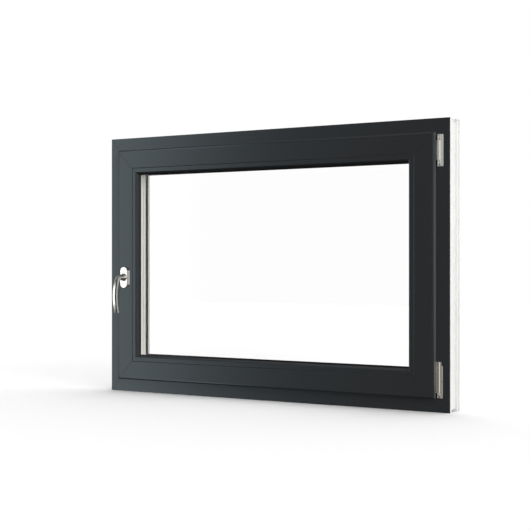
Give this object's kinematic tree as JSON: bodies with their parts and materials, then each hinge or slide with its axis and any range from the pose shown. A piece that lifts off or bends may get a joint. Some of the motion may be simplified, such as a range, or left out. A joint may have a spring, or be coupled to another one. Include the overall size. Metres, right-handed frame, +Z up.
{
  "type": "side-hung tilting pvc window, closed",
  "caption": "Closed PVC window: mitred frame and rounded sash, dark foil indoors and white outdoors, sealed glass unit, lever handle and metal hinges.",
  "frame": {"origin": "on the bottom face of the sill's front foot, in the middle of the window's width and of the foot's 13 mm depth; the frame's room face is 6.5 mm in front of it", "axes": "+X along the width, to the right as seen from the room (towards the hinges); -Y towards the room, +Y outdoors; +Z up"},
  "size_m": [1.13, 0.1523, 0.78],
  "materials": {
    "foil_pvc": "white PVC profile with a satin anthracite foil on its room side",
    "bead_pvc": "anthracite glazing bead, satin",
    "seal": "matt black gasket",
    "glass": "clear float glass",
    "spacer": "satin warm-grey spacer bar",
    "edge_seal": "matt black sealant",
    "blocks": "plain moulded packing block",
    "handle_metal": "satin nickel",
    "spindle_steel": "plain steel",
    "hinge_metal": "satin plated steel",
    "white_plastic": "moulded white plastic"
  },
  "bodies": {
    "root": {"frame_sill": "foil_pvc", "frame_head": "foil_pvc", "frame_handle_jamb": "foil_pvc", "frame_hinge_jamb": "foil_pvc", "sash_bottom_rail": "foil_pvc", "sash_top_rail": "foil_pvc", "sash_handle_stile": "foil_pvc", "sash_hinge_stile": "foil_pvc", "bead_bottom": "bead_pvc", "bead_top": "bead_pvc", "bead_handle_side": "bead_pvc", "bead_hinge_side": "bead_pvc", "frame_stop_gasket": "seal", "sash_overlap_gasket": "seal", "glazing_gasket_room": "seal", "glazing_gasket_outdoor": "seal", "pane_room": "glass", "pane_middle": "glass", "pane_outdoor": "glass", "spacer_room": "spacer", "spacer_outdoor": "spacer", "edge_seal": "edge_seal", "glazing_blocks": "blocks", "handle_rosette": "handle_metal", "handle_lever": "handle_metal", "handle_spindle": "spindle_steel", "top_hinge_bracket": "hinge_metal", "top_hinge_stay": "hinge_metal", "top_hinge_pin": "spindle_steel", "bottom_hinge_bracket": "hinge_metal", "bottom_hinge_sash_leaf": "hinge_metal", "bottom_hinge_pin": "spindle_steel", "drain_caps": "white_plastic"}
  },
  "joints": []
}
